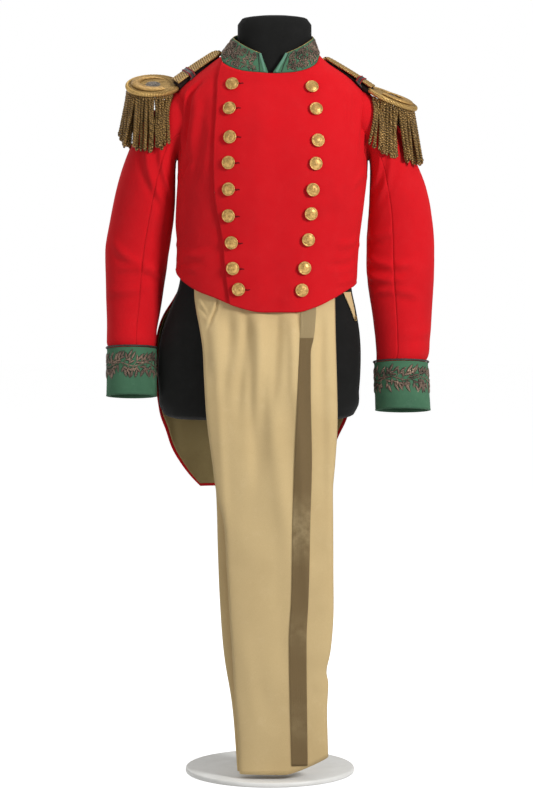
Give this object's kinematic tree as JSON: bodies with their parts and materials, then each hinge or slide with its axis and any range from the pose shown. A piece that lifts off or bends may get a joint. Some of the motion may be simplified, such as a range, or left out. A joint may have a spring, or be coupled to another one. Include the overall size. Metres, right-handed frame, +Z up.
{
  "type": "ceremonial uniform on dress form",
  "caption": "Ceremonial uniform on a limbless dress form: short-fronted tailcoat with standing collar, deep cuffs and fringed epaulettes over straight striped trousers",
  "frame": {"origin": "the middle of the stand's round base, on the floor it stands on", "axes": "+Z is up, the front faces -Y, and +X is the wearer's left, which is the viewer's right"},
  "size_m": [0.658, 0.34, 1.513],
  "materials": {
    "scarlet_wool": "milled wool cloth",
    "green_facing": "milled wool cloth",
    "buff_cloth": "twilled wool cloth",
    "stripe_lace": "ribbed metal-thread lace, worn",
    "dark_cord": "twisted cord",
    "gold_bullion": "metal bullion thread",
    "gilt_metal": "worn gilt",
    "form_cover": "black knitted cover",
    "stand_paint": "satin paint"
  },
  "bodies": {
    "root": {"dress_form": "form_cover", "stand_base": "stand_paint", "stand_pole": "stand_paint", "coat_front_left": "scarlet_wool", "coat_front_right": "scarlet_wool", "coat_side_left": "scarlet_wool", "coat_side_right": "scarlet_wool", "coat_back_left": "scarlet_wool", "coat_back_right": "scarlet_wool", "sleeve_top_left": "scarlet_wool", "sleeve_under_left": "scarlet_wool", "sleeve_top_right": "scarlet_wool", "sleeve_under_right": "scarlet_wool", "tail_left": "scarlet_wool", "tail_right": "scarlet_wool", "standing_collar": "green_facing", "cuff_left": "green_facing", "cuff_right": "green_facing", "cuff_cord_left": "dark_cord", "cuff_cord_right": "dark_cord", "tail_lining_left": "buff_cloth", "tail_lining_right": "buff_cloth", "tail_turnback": "buff_cloth", "trouser_leg_left": "buff_cloth", "trouser_leg_right": "buff_cloth", "trouser_waistband": "buff_cloth", "side_stripe_left": "stripe_lace", "side_stripe_right": "stripe_lace", "button_left_1": "gilt_metal", "button_left_2": "gilt_metal", "button_left_3": "gilt_metal", "button_left_4": "gilt_metal", "button_left_5": "gilt_metal", "button_left_6": "gilt_metal", "button_left_7": "gilt_metal", "button_left_8": "gilt_metal", "button_left_9": "gilt_metal", "button_right_1": "gilt_metal", "button_right_2": "gilt_metal", "button_right_3": "gilt_metal", "button_right_4": "gilt_metal", "button_right_5": "gilt_metal", "button_right_6": "gilt_metal", "button_right_7": "gilt_metal", "button_right_8": "gilt_metal", "button_right_9": "gilt_metal", "waist_button_left": "gilt_metal", "waist_button_right": "gilt_metal", "epaulette_disc_left": "gold_bullion", "epaulette_disc_right": "gold_bullion", "epaulette_crescent_left": "gilt_metal", "epaulette_crescent_right": "gilt_metal", "epaulette_strap_left": "gold_bullion", "epaulette_strap_right": "gold_bullion", "epaulette_keeper_left": "dark_cord", "epaulette_keeper_right": "dark_cord", "epaulette_fringe_left": "gold_bullion", "epaulette_fringe_right": "gold_bullion"}
  },
  "joints": []
}
